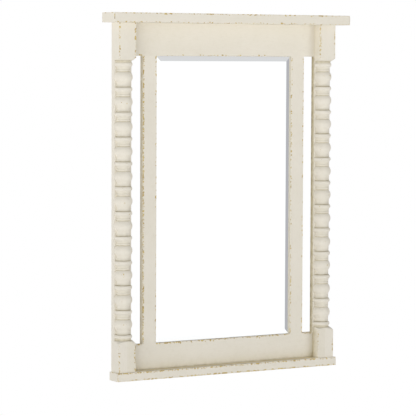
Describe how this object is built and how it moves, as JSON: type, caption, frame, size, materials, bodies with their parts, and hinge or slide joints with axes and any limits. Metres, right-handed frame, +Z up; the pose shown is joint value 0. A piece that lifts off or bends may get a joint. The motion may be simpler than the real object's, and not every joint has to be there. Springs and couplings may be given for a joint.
{
  "type": "wall mirror",
  "caption": "Tall rectangular bevelled mirror in a distressed cream wood frame with turned half-round posts, see-through side slots, a deep cap board and a base board.",
  "frame": {"origin": "middle of the mirror's width, on the wall plane that its flat back lies against, at the height of the two hanger pins", "axes": "+X to the viewer's right, +Y into the wall, +Z up; the mirror faces -Y"},
  "size_m": [0.8128, 0.0762, 1.0668],
  "materials": {
    "painted_wood": "cream paint with rubbed-through edges and ochre glaze in the corners",
    "silvered_glass": "polished, bevelled round its front edge",
    "hardboard": "smooth brown hardboard",
    "bare_wood": "unfinished beech",
    "zinc_steel": "zinc plated",
    "white_foam": "closed-cell foam",
    "black_rubber": "matte"
  },
  "bodies": {
    "frame": {"cap_board": "painted_wood", "base_board": "painted_wood", "top_rail": "painted_wood", "bottom_rail": "painted_wood", "left_outer_stile": "painted_wood", "right_outer_stile": "painted_wood", "left_inner_stile": "painted_wood", "right_inner_stile": "painted_wood", "left_turned_post": "painted_wood", "right_turned_post": "painted_wood", "mirror_glass": "silvered_glass", "glass_setting_blocks": "black_rubber", "glass_foam_strips": "white_foam", "backing_panel": "hardboard", "backing_screws": "zinc_steel", "left_hanger_strap": "zinc_steel", "right_hanger_strap": "zinc_steel", "left_hanger_screws": "zinc_steel", "right_hanger_screws": "zinc_steel", "left_post_screws": "zinc_steel", "right_post_screws": "zinc_steel", "top_rail_dowels": "bare_wood", "bottom_rail_dowels": "bare_wood", "left_inner_stile_dowels": "bare_wood", "right_inner_stile_dowels": "bare_wood", "cap_dowels": "bare_wood", "base_screws": "zinc_steel"},
    "left_ring": {"left_hanger_ring": "zinc_steel"},
    "right_ring": {"right_hanger_ring": "zinc_steel"}
  },
  "joints": [
    {"name": "left_ring_pivot", "type": "hinge", "parent": "frame", "child": "left_ring", "pos_m": [-0.34608, -0.0033, 0], "axis": [1, 0, 0], "range_deg": [0, 180]},
    {"name": "right_ring_pivot", "type": "hinge", "parent": "frame", "child": "right_ring", "pos_m": [0.34608, -0.0033, 0], "axis": [1, 0, 0], "range_deg": [0, 180]}
  ]
}
